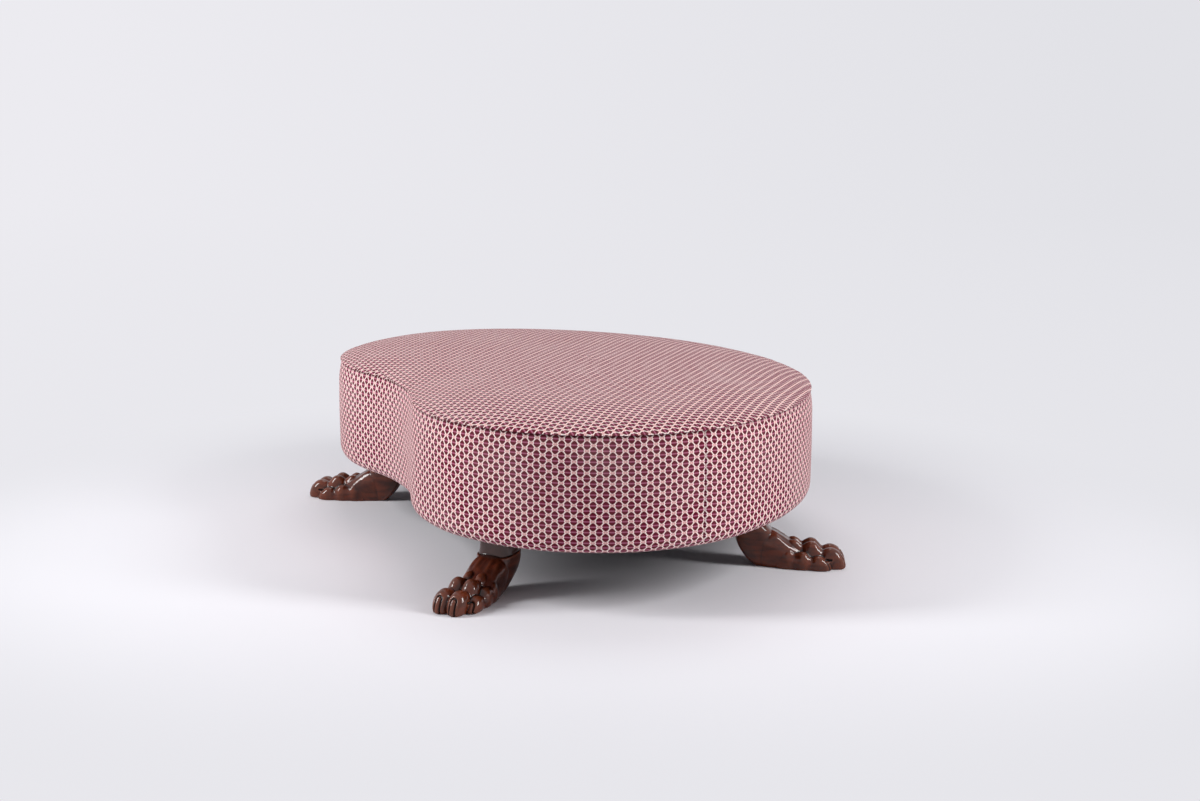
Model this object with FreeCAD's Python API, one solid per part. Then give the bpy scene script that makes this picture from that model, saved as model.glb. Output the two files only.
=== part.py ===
import FreeCAD, Part
import math
import os

# A large kidney-shaped upholstered ottoman on four carved paw feet.
# X is its long axis, -Y its hollowed front, +Z up, and the floor is Z = 0.
# The outline is six tangent arcs: a wide back, two ends, two front lobes and a notch.
# The back rises from the widest line, and the lobes lie in front of it.
# Every layer of the body lies at its own distance inside that outline.

Vector = FreeCAD.Vector
UP = Vector(0, 0, 1)

# Outline of the upholstered body, in millimetres
body_length = 1404.0
back_rise = 608.4
back_end_radius = 407.8
front_lobe_radius = 405.2
notch_depth = 44.0
band_seam_turn = 9.8

# Heights of the upholstery
body_bottom = 130.0
seam_height = 374.5
edge_roll = 30.0
draw_in = 7.0
draw_height = 62.0
lip_height = 3.3
lip_overhang = 2.2
crown_rise = 30.0
crown_run = 255.0

# Layers of the upholstery
cover_thickness = 1.5
wadding_thickness = 6.1
layer_gap = 0.2
side_foam_thickness = 19.8
wadding_under = 48.0
hem_end = 80.0
seam_gap = 0.4
seat_foam_edge = 76.0

# Frame
skin_thickness = 5.0
ring_thickness = 18.0
bottom_ring_width = 155.0
top_ring_width = 90.0
post_size = 36.0
post_gap = 0.9
post_angles_back = (-28.0, 0.0, 28.0)
post_end_angle = 15.0
post_lobe_angle = -36.0
rail_thickness = 22.0
rail_depth = 52.0
rail_offset = 175.0

# Deck
webbing_width = 50.0
webbing_thickness = 1.2
webbing_inset = 48.0
long_web_count = 4
long_web_pitch = 165.0
cross_web_count = 6
cross_web_pitch = 185.0
deck_cloth_thickness = 0.8
deck_cloth_inset = 44.0

# Underside cloth and its tacks
dust_cover_thickness = 1.0
dust_cover_inset = 62.0
tack_inset = 70.0
tack_spacing = 105.0
tack_head_radius = 4.0
tack_head_height = 1.2
tack_shank_radius = 0.9
tack_length = 12.0
tack_gap = 0.1
tack_leg_room = 8.0

# Places of the legs: turn round the lobe's or the back's arc, depth inside the outline,
# and the way that the toes point
front_leg_turn = 66.8
front_leg_inset = 115.6
front_paw_splay = 53.0
back_leg_turn = 45.0
back_leg_inset = 105.7
back_paw_splay = 61.5

# Leg above the paw
leg_length = 76.0
leg_width = 81.0
leg_corner = 29.0
leg_centre = -5.0
leg_top = 88.0
neck_ledge = 6.0

# Heel: height above the floor, rearmost and foremost reach, half width
heel_sections = (
    (0.0, 2.0, 60.0, 19.0),
    (18.5, -19.0, 58.0, 26.0),
    (34.0, -29.7, 54.0, 32.0),
    (59.0, -42.2, 44.6, 38.0),
    (84.0, -43.0, 34.0, 40.0),
)
heel_corner_share = 0.62

# Forefoot: reach ahead of the heel, half width of the sole, half width, side height, height
forefoot_sections = (
    (4.0, 19.0, 35.0, 52.0, 83.0),
    (33.0, 23.0, 37.0, 48.0, 82.0),
    (49.0, 25.0, 36.0, 42.0, 73.0),
    (70.0, 28.0, 36.0, 31.0, 61.0),
    (101.0, 33.0, 38.0, 22.0, 50.0),
    (140.0, 38.0, 40.0, 15.0, 35.0),
    (168.0, 34.0, 36.0, 11.0, 25.0),
)

# Toes: reach ahead of the heel, half width, height
centre_toe_sections = (
    (97.0, 11.5, 49.0),
    (110.0, 14.0, 55.0),
    (121.0, 15.0, 57.0),
    (132.0, 14.0, 53.0),
    (144.0, 13.0, 42.0),
    (158.0, 15.5, 43.0),
    (172.0, 16.0, 41.0),
    (187.0, 14.0, 33.0),
    (198.0, 9.0, 20.0),
)
side_toe_sections = (
    (74.0, 9.0, 33.0),
    (86.0, 12.5, 38.0),
    (97.0, 13.5, 40.0),
    (108.0, 13.0, 36.0),
    (117.0, 12.0, 29.0),
    (130.0, 13.5, 31.0),
    (144.0, 13.5, 29.0),
    (156.0, 11.5, 23.0),
    (166.0, 7.5, 14.0),
)
toe_round = 0.85
centre_toe_offset = 12.0
centre_toe_fan = 5.5
side_toe_offset = 31.0
side_toe_fan = 9.0
claw_length = 12.0
claw_root = 5.0
claw_point = 1.6
claw_drop = 62.0
claw_floor_gap = 0.6

# Leg fixings
block_length = 104.0
block_width = 104.0
block_height = 38.0
bolt_radius = 4.0
bolt_gap = 0.2
bolt_in_leg = 45.0
nut_flange_radius = 11.0
nut_flange_height = 1.6
nut_barrel_radius = 5.2
nut_barrel_height = 12.0

# Wood screws
screw_radius = 2.0
screw_head_radius = 4.0
screw_head_height = 2.6
screw_length = 46.0
screw_gap = 0.1
block_screw_offset = 40.0

# Heights and depths that follow from the sizes above
wadding_out = cover_thickness + layer_gap
wadding_in = wadding_out + wadding_thickness
side_layers = wadding_in + layer_gap
frame_inset = side_layers + side_foam_thickness + layer_gap
ring_inset = frame_inset + skin_thickness


def above_roll(inset):
    # Height that clears the rolled wadding at this depth inside the outline
    short = max(0.0, edge_roll - inset)
    return body_bottom + edge_roll - math.sqrt((edge_roll - wadding_in) ** 2 - short ** 2) + layer_gap


skin_bottom = above_roll(frame_inset)
ring_bottom = above_roll(ring_inset)
ring_top = ring_bottom + ring_thickness
seat_foam_bottom = seam_height - seat_foam_edge
deck_cloth_bottom = seat_foam_bottom - deck_cloth_thickness
cross_web_bottom = deck_cloth_bottom - webbing_thickness
long_web_bottom = cross_web_bottom - webbing_thickness
deck_top = long_web_bottom
deck_bottom = deck_top - ring_thickness
hem_bottom = ring_bottom - cover_thickness
dust_bottom = hem_bottom - dust_cover_thickness
post_inset = ring_inset + post_size / 2 + post_gap

# Arcs of the outline
half_length = body_length / 2
body_depth = back_rise + front_lobe_radius
back_y = body_depth / 2
end_y = front_lobe_radius - back_y
back_end_x = half_length - back_end_radius
lobe_x = half_length - front_lobe_radius
back_radius = (back_end_x ** 2 + back_rise ** 2 - back_end_radius ** 2) / (2 * (back_rise - back_end_radius))
notch_radius = (lobe_x ** 2 + (front_lobe_radius - notch_depth) ** 2 - front_lobe_radius ** 2) / (2 * notch_depth)
back_centre_y = back_y - back_radius
notch_centre_y = -back_y + notch_depth - notch_radius
back_turn = math.degrees(math.atan2(end_y - back_centre_y, back_end_x))
lobe_turn = math.degrees(math.atan2(end_y - notch_centre_y, lobe_x))


class Arc:
    # One arc of the outline. Inward is -1 where the outline swells and +1 at the notch.
    def __init__(self, x, y, radius, start, stop, inward):
        self.x = x
        self.y = y
        self.radius = radius
        self.start = start
        self.stop = stop
        self.inward = inward

    def point(self, degrees, depth, z):
        reach = self.radius + self.inward * depth
        turn = math.radians(degrees)
        return Vector(self.x + reach * math.cos(turn), self.y + reach * math.sin(turn), z)


back_arc = Arc(0, back_centre_y, back_radius, back_turn, 180 - back_turn, -1)
right_end_arc = Arc(back_end_x, end_y, back_end_radius, 0, back_turn, -1)
left_end_arc = Arc(-back_end_x, end_y, back_end_radius, 180 - back_turn, 180, -1)
right_lobe_arc = Arc(lobe_x, end_y, front_lobe_radius, lobe_turn - 180, 0, -1)
left_lobe_arc = Arc(-lobe_x, end_y, front_lobe_radius, 180, 360 - lobe_turn, -1)
notch_arc = Arc(0, notch_centre_y, notch_radius, lobe_turn, 180 - lobe_turn, 1)

back_half = (right_end_arc, back_arc, left_end_arc)
front_half = (left_lobe_arc, notch_arc, right_lobe_arc)
whole_outline = back_half + front_half

# The band's two halves meet a little behind the widest points
seam_left = 180 - band_seam_turn
band_back_half = (
    Arc(back_end_x, end_y, back_end_radius, band_seam_turn, back_turn, -1),
    back_arc,
    Arc(-back_end_x, end_y, back_end_radius, 180 - back_turn, seam_left, -1),
)
band_front_half = (
    Arc(-back_end_x, end_y, back_end_radius, seam_left, 180, -1),
    left_lobe_arc,
    notch_arc,
    right_lobe_arc,
    Arc(back_end_x, end_y, back_end_radius, 0, band_seam_turn, -1),
)

pieces = {}


def joined(solids):
    # One solid from pieces that share their end faces
    if len(solids) == 1:
        return solids[0]
    return solids[0].fuse(list(solids[1:])).removeSplitter()


def outline_wire(depth, z):
    edges = []
    for arc in (right_end_arc, back_arc, left_end_arc, left_lobe_arc, notch_arc, right_lobe_arc):
        first, last = arc.start, arc.stop
        if arc is notch_arc:
            first, last = last, first
        points = [arc.point(a, depth, z) for a in (first, (first + last) / 2, last)]
        edges.append(Part.Arc(*points).toShape())
    return Part.Wire(edges)


def plate(depth, low, high):
    # Slab of the outline drawn in by depth
    face = Part.Face(outline_wire(depth, low))
    return face.extrude(UP * (high - low))


def section_face(section, arc):
    # Section is a list of (depth, z) points. A pair of points is an arc's middle and end.
    place = lambda p: arc.point(arc.start, p[0], p[1])
    edges = []
    last = section[0]
    for step in section[1:] + [section[0]]:
        if isinstance(step[0], tuple):
            middle, end = step
            edges.append(Part.Arc(place(last), place(middle), place(end)).toShape())
            last = end
        else:
            edges.append(Part.LineSegment(place(last), place(step)).toShape())
            last = step
    return Part.Face(Part.Wire(edges))


def swept(section, arcs):
    # Section carried round the given arcs of the outline
    solids = []
    for arc in arcs:
        face = section_face(section, arc)
        solids.append(face.revolve(Vector(arc.x, arc.y, 0), UP, arc.stop - arc.start))
    return joined(solids)


def drawn(z):
    # How far the side is drawn in towards the top seam at height z
    above = max(0.0, z - (seam_height - draw_height))
    radius = (draw_height ** 2 + draw_in ** 2) / (2 * draw_in)
    return radius - math.sqrt(radius ** 2 - above ** 2)


def side_down(depth, top):
    # Side of a layer from its top edge to where it has rolled under
    swell = seam_height - draw_height
    half = (top + swell) / 2
    bend = (edge_roll - depth) * math.sqrt(0.5)
    return [
        (drawn(top) + depth, top),
        ((drawn(half) + depth, half), (depth, swell)),
        (depth, body_bottom + edge_roll),
        ((edge_roll - bend, body_bottom + edge_roll - bend), (edge_roll, body_bottom + depth)),
    ]


def side_up(depth, top):
    # The same side from below upwards
    swell = seam_height - draw_height
    half = (top + swell) / 2
    bend = (edge_roll - depth) * math.sqrt(0.5)
    return [
        (edge_roll, body_bottom + depth),
        ((edge_roll - bend, body_bottom + edge_roll - bend), (depth, body_bottom + edge_roll)),
        (depth, swell),
        ((drawn(half) + depth, half), (drawn(top) + depth, top)),
    ]


seam_edge = draw_in - lip_overhang
crown_width = crown_run - seam_edge
crown_radius = (crown_width ** 2 + crown_rise ** 2) / (2 * crown_rise)
crown_top = seam_height + lip_height + crown_rise


def crown(depth):
    # Height of the top's outer face at this depth inside the outline
    away = max(0.0, crown_run - depth)
    return crown_top - crown_radius + math.sqrt(crown_radius ** 2 - away ** 2)


def crown_arc(start, stop, below):
    half = (start + stop) / 2
    return ((half, crown(half) - below), (stop, crown(stop) - below))


# Top cover: a domed panel with a short turned-down lip at the seam
inner_edge = seam_edge + cover_thickness
lip_section = [
    (seam_edge, seam_height),
    (seam_edge, crown(seam_edge)),
    crown_arc(seam_edge, crown_run, 0),
    (crown_run, crown_top - cover_thickness),
    crown_arc(crown_run, inner_edge, cover_thickness),
    (inner_edge, seam_height),
]
top_rim = swept(lip_section, whole_outline)
top_middle = plate(crown_run, crown_top - cover_thickness, crown_top)
pieces["top_cover"] = joined([top_rim, top_middle])

# Band round the side, in a back and a front half
band_top = seam_height - seam_gap
hem_top = ring_bottom
hem_slope = hem_bottom - body_bottom
band_section = side_down(0, band_top) + [
    (wadding_under, body_bottom),
    (wadding_under + hem_slope, hem_bottom),
    (hem_end, hem_bottom),
    (hem_end, hem_top),
    (wadding_under + hem_slope, hem_top),
    (wadding_under, body_bottom + cover_thickness),
] + side_up(cover_thickness, band_top)
pieces["band_cover_back"] = swept(band_section, band_back_half)
pieces["band_cover_front"] = swept(band_section, band_front_half)

# Wadding under the band and under the top cover
wadding_top = seam_height - wadding_in
side_wadding_section = side_down(wadding_out, wadding_top) + [
    (wadding_under - layer_gap, body_bottom + wadding_out),
    (wadding_under - layer_gap, body_bottom + wadding_in),
] + side_up(wadding_in, wadding_top)
pieces["side_wadding"] = swept(side_wadding_section, whole_outline)

rim_in = inner_edge + layer_gap
rim_under = draw_in + wadding_out
top_wadding_section = [
    (rim_under, wadding_top + layer_gap),
    (rim_under, seam_height),
    (rim_in, seam_height),
    (rim_in, crown(rim_in) - wadding_out),
    crown_arc(rim_in, crown_run, wadding_out),
    (crown_run, crown_top - wadding_in),
    crown_arc(crown_run, draw_in + wadding_in + layer_gap, wadding_in),
    (draw_in + wadding_in + layer_gap, wadding_top + layer_gap),
]
wadding_rim = swept(top_wadding_section, whole_outline)
wadding_middle = plate(crown_run, crown_top - wadding_in, crown_top - wadding_out)
pieces["top_wadding"] = joined([wadding_rim, wadding_middle])

# Seat foam: a thick crowned slab on the deck
foam_edge = side_layers
foam_out = draw_in + foam_edge + layer_gap
foam_crown = side_layers
swell_height = seam_height - draw_height
foam_half = (swell_height + wadding_top) / 2
seat_section = [
    (foam_edge, seat_foam_bottom),
    (foam_edge, swell_height),
    ((drawn(foam_half) + foam_edge, foam_half), (drawn(wadding_top) + foam_edge, wadding_top)),
    (foam_out, wadding_top),
    (foam_out, crown(foam_out) - foam_crown),
    crown_arc(foam_out, crown_run, foam_crown),
    (crown_run, seat_foam_bottom),
]
seat_rim = swept(seat_section, whole_outline)
seat_middle = plate(crown_run, seat_foam_bottom, crown_top - foam_crown)
pieces["seat_foam"] = joined([seat_rim, seat_middle])

# Side foam, in four lengths, rolled under the bottom edge of the frame
roll_reach = edge_roll - side_layers
foam_inner = side_layers + side_foam_thickness
foot_drop = math.sqrt(roll_reach ** 2 - (edge_roll - foam_inner) ** 2)
foot_turn = math.atan2(foot_drop, edge_roll - foam_inner) / 2
foam_top = seat_foam_bottom - layer_gap
side_foam_section = [
    (side_layers, foam_top),
    (side_layers, body_bottom + edge_roll),
    (
        (edge_roll - roll_reach * math.cos(foot_turn), body_bottom + edge_roll - roll_reach * math.sin(foot_turn)),
        (foam_inner, body_bottom + edge_roll - foot_drop),
    ),
    (foam_inner, foam_top),
]
pieces["side_foam_back"] = swept(side_foam_section, back_half)
pieces["side_foam_left"] = swept(side_foam_section, (left_lobe_arc,))
pieces["side_foam_front"] = swept(side_foam_section, (notch_arc,))
pieces["side_foam_right"] = swept(side_foam_section, (right_lobe_arc,))

# Bent plywood skin round the frame
skin_section = [
    (frame_inset, skin_bottom),
    (frame_inset, deck_top),
    (ring_inset, deck_top),
    (ring_inset, skin_bottom),
]
pieces["side_skin_back"] = swept(skin_section, back_half)
pieces["side_skin_front"] = swept(skin_section, front_half)

# Plywood rings at the bottom and at the top of the frame
bottom_ring = plate(ring_inset, ring_bottom, ring_top).cut(plate(ring_inset + bottom_ring_width, ring_bottom, ring_top))
top_ring = plate(ring_inset, deck_bottom, deck_top).cut(plate(ring_inset + top_ring_width, deck_bottom, deck_top))

# Posts between the rings, each square to the outline
post_places = [(back_arc, 90 + a) for a in post_angles_back]
post_places.append((right_end_arc, post_end_angle))
post_places.append((left_end_arc, 180 - post_end_angle))
post_places.append((right_lobe_arc, post_lobe_angle))
post_places.append((left_lobe_arc, 180 - post_lobe_angle))
post_places.append((notch_arc, 90))


def screw(place, direction):
    # Countersunk screw whose head is flush at place
    shank = Part.makeCylinder(screw_radius, screw_length, place, direction)
    head = Part.makeCone(screw_head_radius, screw_radius, screw_head_height, place, direction)
    return shank.fuse(head)


def screw_hole(place, direction):
    shank = Part.makeCylinder(screw_radius + screw_gap, screw_length + screw_gap, place, direction)
    head = Part.makeCone(
        screw_head_radius + screw_gap, screw_radius + screw_gap, screw_head_height, place, direction
    )
    return shank.fuse(head)


screw_seats = []
posts = []
for arc, degrees in post_places:
    post = Part.makeBox(post_size, post_size, deck_bottom - ring_top)
    post.translate(Vector(-post_size / 2, -post_size / 2, ring_top))
    post.rotate(Vector(0, 0, 0), UP, degrees)
    centre = arc.point(degrees, post_inset, 0)
    post.translate(centre)
    posts.append(post)
    screw_seats.append((Vector(centre.x, centre.y, ring_bottom), UP))
    screw_seats.append((Vector(centre.x, centre.y, deck_top), UP * -1))

# Rails from front to back, standing on the bottom ring and hung under the top ring
rails = {}
rail_room = plate(ring_inset + layer_gap, ring_top, deck_bottom)
for side, name in ((-1, "left"), (1, "right")):
    for level, low in (("base", ring_top), ("deck", deck_bottom - rail_depth)):
        rail = Part.makeBox(rail_thickness, body_depth, rail_depth)
        rail.translate(Vector(side * rail_offset - rail_thickness / 2, -body_depth / 2, low))
        rail = rail.common(rail_room)
        rails[level + "_rail_" + name] = rail
        box = rail.BoundBox
        for y in (box.YMin + post_size, box.YMax - post_size):
            if level == "base":
                screw_seats.append((Vector(side * rail_offset, y, ring_bottom), UP))
            else:
                screw_seats.append((Vector(side * rail_offset, y, deck_top), UP * -1))

# Places of the four legs: name, place of the leg's centre, way of the toes
leg_places = (
    ("front_right", right_lobe_arc.point(-front_leg_turn, front_leg_inset, 0), -front_paw_splay),
    ("front_left", left_lobe_arc.point(front_leg_turn - 180, front_leg_inset, 0), front_paw_splay - 180),
    ("back_left", back_arc.point(180 - back_leg_turn, back_leg_inset, 0), 180 - back_paw_splay),
    ("back_right", back_arc.point(back_leg_turn, back_leg_inset, 0), back_paw_splay),
)
paw_places = []
for name, centre, degrees in leg_places:
    turn = math.radians(degrees)
    heel_x = centre.x - leg_centre * math.cos(turn)
    heel_y = centre.y - leg_centre * math.sin(turn)
    paw_places.append((name, heel_x, heel_y, degrees))


def put(shape, x, y, degrees):
    # From the leg's own frame, toes along +X, to its place on the ottoman
    placed = shape.copy()
    placed.rotate(Vector(0, 0, 0), UP, degrees)
    placed.translate(Vector(x, y, 0))
    return placed


def rounded(x_low, x_high, half_width, radius, z):
    # Rectangle with round corners
    radius = min(radius, half_width * 0.98, (x_high - x_low) * 0.49)
    half = half_width - radius
    nip = radius * (1 - math.sqrt(0.5))
    corner_turn = (
        (Vector(x_high - radius, -half_width, z), Vector(x_high - nip, -half_width + nip, z), Vector(x_high, -half, z)),
        (Vector(x_high, half, z), Vector(x_high - nip, half_width - nip, z), Vector(x_high - radius, half_width, z)),
        (Vector(x_low + radius, half_width, z), Vector(x_low + nip, half_width - nip, z), Vector(x_low, half, z)),
        (Vector(x_low, -half, z), Vector(x_low + nip, -half_width + nip, z), Vector(x_low + radius, -half_width, z)),
    )
    edges = []
    for index, corner in enumerate(corner_turn):
        edges.append(Part.Arc(*corner).toShape())
        edges.append(Part.LineSegment(corner[2], corner_turn[(index + 1) % 4][0]).toShape())
    return Part.Wire(edges)


def hump(reach, sole, half_width, side, height):
    # Section across the foot: flat sole, leaning sides, arched top
    low_right = Vector(reach, sole, 0)
    low_left = Vector(reach, -sole, 0)
    right = Vector(reach, half_width, side)
    left = Vector(reach, -half_width, side)
    edges = [
        Part.LineSegment(low_left, low_right).toShape(),
        Part.LineSegment(low_right, right).toShape(),
        Part.Arc(right, Vector(reach, 0, height), left).toShape(),
        Part.LineSegment(left, low_left).toShape(),
    ]
    return Part.Wire(edges)


def toe(sections, offset, fan):
    # A toe from behind its knuckle to its tip, with its claw
    wires = []
    for reach, half_width, height in sections:
        wires.append(hump(reach, half_width, half_width, height - half_width * toe_round, height))
    body = Part.makeLoft(wires, True)
    drop = math.radians(claw_drop)
    way = Vector(math.cos(drop), 0, -math.sin(drop))
    claw_height = (claw_length + claw_root) * math.sin(drop) + claw_point * math.cos(drop)
    root = Vector(sections[-2][0], 0, claw_floor_gap + claw_height)
    claw = Part.makeCone(claw_root, claw_point, claw_length + claw_root, root, way)
    whole = body.fuse(claw)
    start = sections[0][0]
    whole.rotate(Vector(start, 0, 0), UP, fan)
    whole.translate(Vector(0, offset, 0))
    return whole


# Carved leg: paw, post and narrower neck
heel_wires = []
for z, rear, fore, half_width in heel_sections:
    heel_wires.append(rounded(rear, fore, half_width, half_width * heel_corner_share, z))
heel = Part.makeLoft(heel_wires, True)
forefoot_wires = [hump(*section) for section in forefoot_sections]
forefoot = Part.makeLoft(forefoot_wires, True)
leg_low = heel_sections[-1][0]
leg_post = Part.Face(
    rounded(leg_centre - leg_length / 2, leg_centre + leg_length / 2, leg_width / 2, leg_corner, leg_low)
).extrude(UP * (leg_top - leg_low))
neck_low = rounded(
    leg_centre - leg_length / 2 + neck_ledge,
    leg_centre + leg_length / 2 - neck_ledge,
    leg_width / 2 - neck_ledge,
    leg_corner - neck_ledge,
    leg_top,
)
neck_high = rounded(
    leg_centre - leg_length / 2, leg_centre + leg_length / 2, leg_width / 2, leg_corner, dust_bottom
)
neck = Part.makeLoft([neck_low, neck_high], True)
toes = [
    toe(centre_toe_sections, centre_toe_offset, centre_toe_fan),
    toe(centre_toe_sections, -centre_toe_offset, -centre_toe_fan),
    toe(side_toe_sections, side_toe_offset, side_toe_fan),
    toe(side_toe_sections, -side_toe_offset, -side_toe_fan),
]
leg = heel.fuse([forefoot, leg_post, neck] + toes).removeSplitter()
bolt_low = dust_bottom - bolt_in_leg
leg = leg.cut(Part.makeCylinder(bolt_radius + bolt_gap, bolt_in_leg, Vector(leg_centre, 0, bolt_low)))

# Leg block on the bottom ring, with a nut pressed in from above
block_top = ring_top + block_height
block = Part.makeBox(block_length, block_width, block_height)
block.translate(Vector(leg_centre - block_length / 2, -block_width / 2, ring_top))
barrel_low = block_top - nut_barrel_height
nut_seat = Part.makeCylinder(nut_barrel_radius + bolt_gap, nut_barrel_height, Vector(leg_centre, 0, barrel_low))
bolt_way = Part.makeCylinder(
    bolt_radius + bolt_gap, block_top - dust_bottom, Vector(leg_centre, 0, dust_bottom)
)
block = block.cut([nut_seat, bolt_way])
nut = Part.makeCylinder(nut_barrel_radius, nut_barrel_height, Vector(leg_centre, 0, barrel_low))
nut = nut.fuse(Part.makeCylinder(nut_flange_radius, nut_flange_height, Vector(leg_centre, 0, block_top)))
nut = nut.cut(
    Part.makeCylinder(
        bolt_radius + bolt_gap / 2, nut_barrel_height + nut_flange_height, Vector(leg_centre, 0, barrel_low)
    )
)
bolt = Part.makeCylinder(bolt_radius, block_top - bolt_low, Vector(leg_centre, 0, bolt_low))
block_screw_places = [
    Vector(leg_centre, offset, block_top) for offset in (-block_screw_offset, block_screw_offset)
]
block_screw_shapes = [screw(place, UP * -1) for place in block_screw_places]
block_hole_shapes = [screw_hole(place, UP * -1) for place in block_screw_places]
block = block.cut(block_hole_shapes)

bolts = []
nuts = []
screws = [screw(place, direction) for place, direction in screw_seats]
frame_holes = [screw_hole(place, direction) for place, direction in screw_seats]
ring_holes = []
for name, x, y, degrees in paw_places:
    pieces["paw_leg_" + name] = put(leg, x, y, degrees)
    pieces["leg_block_" + name] = put(block, x, y, degrees)
    bolts.append(put(bolt, x, y, degrees))
    nuts.append(put(nut, x, y, degrees))
    screws += [put(shape, x, y, degrees) for shape in block_screw_shapes]
    ring_holes += [put(shape, x, y, degrees) for shape in block_hole_shapes]
    ring_holes.append(put(bolt_way, x, y, degrees))

# Tacks that hold the underside cloth over the turned-in hem of the band
tacks = []
tack_holes = []
neck_places = [put(Part.Vertex(leg_centre, 0, dust_bottom), x, y, degrees) for name, x, y, degrees in paw_places]
neck_room = math.hypot(leg_length, leg_width) / 2 + tack_leg_room
for arc in whole_outline:
    reach = arc.radius + arc.inward * tack_inset
    arc_span = math.radians(arc.stop - arc.start) * reach
    count = max(1, round(arc_span / tack_spacing))
    for index in range(count):
        degrees = arc.start + (arc.stop - arc.start) * (index + 0.5) / count
        foot = arc.point(degrees, tack_inset, dust_bottom)
        if min(foot.distanceToPoint(place.Point) for place in neck_places) < neck_room:
            continue
        head = Part.makeCylinder(tack_head_radius, tack_head_height, foot, UP * -1)
        tacks.append(head.fuse(Part.makeCylinder(tack_shank_radius, tack_length, foot, UP)))
        tack_holes.append(Part.makeCylinder(tack_shank_radius + tack_gap, tack_length + tack_gap, foot, UP))

bottom_ring = bottom_ring.cut(frame_holes + ring_holes + tack_holes)
top_ring = top_ring.cut(frame_holes)
pieces["bottom_ring"] = bottom_ring
pieces["top_ring"] = top_ring
for index, post in enumerate(posts):
    pieces["post_%d" % (index + 1)] = post.cut(frame_holes)
for name, rail in rails.items():
    pieces[name] = rail.cut(frame_holes)
pieces["band_cover_back"] = pieces["band_cover_back"].cut(tack_holes)
pieces["band_cover_front"] = pieces["band_cover_front"].cut(tack_holes)
dust_holes = [put(bolt_way, x, y, degrees) for name, x, y, degrees in paw_places]
pieces["dust_cover"] = plate(dust_cover_inset, dust_bottom, hem_bottom).cut(tack_holes + dust_holes)
pieces["hanger_bolts"] = Part.makeCompound(bolts)
pieces["tee_nuts"] = Part.makeCompound(nuts)
pieces["frame_screws"] = Part.makeCompound(screws)
pieces["dust_cover_tacks"] = Part.makeCompound(tacks)

# Deck: webbing both ways over the top ring, and a cloth that carries the foam
for index in range(long_web_count):
    y = (index - (long_web_count - 1) / 2) * long_web_pitch
    strip = Part.makeBox(body_length, webbing_width, webbing_thickness)
    strip.translate(Vector(-half_length, y - webbing_width / 2, long_web_bottom))
    room = plate(webbing_inset, long_web_bottom, cross_web_bottom)
    pieces["long_webbing_%d" % (index + 1)] = strip.common(room)
for index in range(cross_web_count):
    x = (index - (cross_web_count - 1) / 2) * cross_web_pitch
    strip = Part.makeBox(webbing_width, body_depth, webbing_thickness)
    strip.translate(Vector(x - webbing_width / 2, -body_depth / 2, cross_web_bottom))
    room = plate(webbing_inset, cross_web_bottom, deck_cloth_bottom)
    pieces["cross_webbing_%d" % (index + 1)] = strip.common(room)
pieces["deck_cloth"] = plate(deck_cloth_inset, deck_cloth_bottom, seat_foam_bottom)

# The toes stand out ahead of the body, so everything is moved to put the whole at the centre
reach_y = [-back_y, back_y]
for name, x, y, degrees in paw_places:
    reach_y += [point.y for point in pieces["paw_leg_" + name].tessellate(0.1)[0]]
shift = Vector(0, -(min(reach_y) + max(reach_y)) / 2, 0)

os.makedirs("parts", exist_ok=True)
for name, shape in pieces.items():
    placed = shape.copy()
    placed.translate(shift)
    placed.exportStep("parts/" + name + ".step")
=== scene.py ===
import bpy
import math
import numpy as np
from mathutils import Matrix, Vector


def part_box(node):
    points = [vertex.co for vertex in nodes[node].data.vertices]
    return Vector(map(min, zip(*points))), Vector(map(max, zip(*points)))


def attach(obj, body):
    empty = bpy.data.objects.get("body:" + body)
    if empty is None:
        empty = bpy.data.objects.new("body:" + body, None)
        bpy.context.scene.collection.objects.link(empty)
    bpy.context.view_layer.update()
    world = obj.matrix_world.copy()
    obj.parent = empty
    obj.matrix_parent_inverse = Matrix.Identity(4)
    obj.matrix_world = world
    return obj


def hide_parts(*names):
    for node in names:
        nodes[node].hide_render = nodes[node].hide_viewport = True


# A kidney-shaped ottoman in a patterned weave, on four carved mahogany paws.
# Lengths are in metres unless a name or note says otherwise.

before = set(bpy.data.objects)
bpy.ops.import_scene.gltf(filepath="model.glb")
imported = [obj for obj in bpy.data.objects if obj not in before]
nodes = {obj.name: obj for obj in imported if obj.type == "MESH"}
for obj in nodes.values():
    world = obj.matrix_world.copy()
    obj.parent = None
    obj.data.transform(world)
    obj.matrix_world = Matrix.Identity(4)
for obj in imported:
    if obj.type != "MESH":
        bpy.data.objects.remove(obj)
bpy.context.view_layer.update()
print("frame loaded:", len(nodes), "nodes")


def hexColour(code):
    # sRGB hex to linear colour
    parts = [int(code[i:i + 2], 16) / 255 for i in (1, 3, 5)]
    return [c / 12.92 if c <= 0.04045 else ((c + 0.055) / 1.055) ** 2.4 for c in parts] + [1.0]


def addNode(tree, kind, inputs=(), output=0, **settings):
    # One node with its settings: each input, by number or name, takes a value or another's output
    node = tree.nodes.new("ShaderNode" + kind)
    for name, value in settings.items():
        setattr(node, name, value)
    for place, value in (inputs.items() if isinstance(inputs, dict) else enumerate(inputs)):
        if isinstance(value, bpy.types.NodeSocket):
            tree.links.new(value, node.inputs[place])
        else:
            node.inputs[place].default_value = value
    return node.outputs[output]


# Settings that many nodes share
colourMix = {"output": 2, "data_type": "RGBA"}
softStep = {"interpolation_type": "SMOOTHSTEP"}


def newMaterial(name):
    material = bpy.data.materials.new(name)
    material.use_nodes = True
    tree = material.node_tree
    return material, tree, tree.nodes["Principled BSDF"]


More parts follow.
